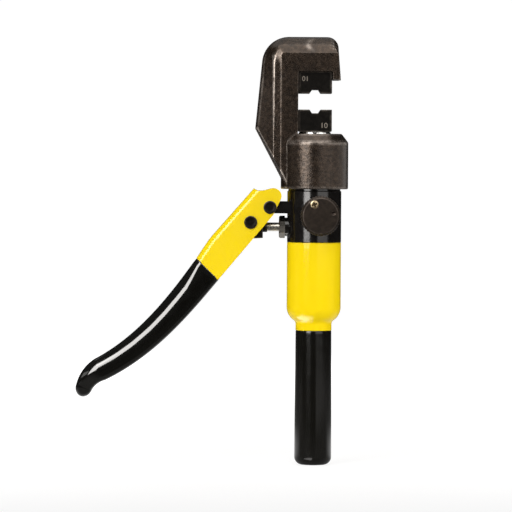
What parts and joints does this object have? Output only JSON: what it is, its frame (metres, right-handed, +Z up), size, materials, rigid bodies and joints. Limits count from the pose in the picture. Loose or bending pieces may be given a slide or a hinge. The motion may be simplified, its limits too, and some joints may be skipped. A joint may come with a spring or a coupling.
{
  "type": "hydraulic crimping tool",
  "caption": "Hand-held hydraulic crimping tool: forged C-frame head with swappable hexagon dies, lever-driven pump, oil reservoir, release knob and rubber grips.",
  "frame": {"origin": "on the tool's axis, at the middle of the fixed grip's sleeve", "axes": "+Z up the tool's axis towards the head, +X towards the jaw's open side, -Y the front with the release knob"},
  "size_m": [0.2037, 0.0544, 0.321],
  "materials": {
    "forged_steel": "dark oxidised forging, satin, worn brighter on its edges",
    "gloss_black": "gloss black paint",
    "yellow_paint": "gloss yellow paint",
    "black_oxide": "black oxide, satin",
    "polished_steel": "ground and polished",
    "plain_steel": "bright turned steel",
    "brass": "turned brass",
    "soft_rubber": "black rubber, satin",
    "gloss_vinyl": "glossy dipped vinyl"
  },
  "bodies": {
    "pump": {"pump_body": "gloss_black", "reservoir": "yellow_paint", "oil_bladder": "soft_rubber", "grip_tube": "plain_steel", "tube_plug": "soft_rubber", "grip_sleeve": "soft_rubber", "fulcrum_lug": "gloss_black", "gland_nut": "plain_steel", "plunger_packing": "soft_rubber", "inlet_seat": "brass", "inlet_ball": "plain_steel", "inlet_spring": "plain_steel", "outlet_ball": "plain_steel", "outlet_spring": "plain_steel", "outlet_plug": "brass", "relief_ball": "plain_steel", "relief_spring": "plain_steel", "relief_screw": "plain_steel", "release_ball": "plain_steel"},
    "head": {"crimp_head": "forged_steel", "upper_die": "black_oxide", "upper_detent_ball": "plain_steel", "upper_detent_spring": "plain_steel", "ram_spring": "plain_steel"},
    "ram": {"ram": "polished_steel", "ram_seal": "soft_rubber", "lower_die": "black_oxide", "lower_detent_ball": "plain_steel", "lower_detent_spring": "plain_steel"},
    "handle": {"handle_channel": "yellow_paint", "handle_grip": "gloss_vinyl", "pivot_pin": "black_oxide", "drive_pin": "black_oxide", "pin_clips": "plain_steel"},
    "plunger": {"plunger_rod": "polished_steel", "plunger_yoke": "black_oxide"},
    "release": {"release_knob": "gloss_black", "release_spindle": "plain_steel", "spindle_seal": "soft_rubber", "stop_screw": "brass"}
  },
  "joints": [
    {"name": "handle_pump", "type": "hinge", "parent": "pump", "child": "handle", "pos_m": [-0.0334, 0, 0.1427], "axis": [0, -1, 0], "range_deg": [0, 34]},
    {"name": "plunger_stroke", "type": "slide", "parent": "pump", "child": "plunger", "axis": [1, 0, 0], "range_m": [0, 0.0086]},
    {"name": "head_swivel", "type": "hinge", "parent": "pump", "child": "head", "pos_m": [0, 0, 0.1775], "axis": [0, 0, 1], "range_deg": [-90, 90]},
    {"name": "ram_stroke", "type": "slide", "parent": "head", "child": "ram", "axis": [0, 0, 1], "range_m": [0, 0.012], "stiffness_N_per_m": 2000, "springref_m": -0.01, "deforming": ["ram_spring"]},
    {"name": "release_turn", "type": "hinge", "parent": "pump", "child": "release", "pos_m": [0.0041, -0.025, 0.1366], "axis": [0, -1, 0], "range_deg": [0, 90]}
  ],
  "couplings": [
    {"joint": "plunger_stroke", "follows": "handle_pump", "m_per_rad": 0.014324}
  ]
}
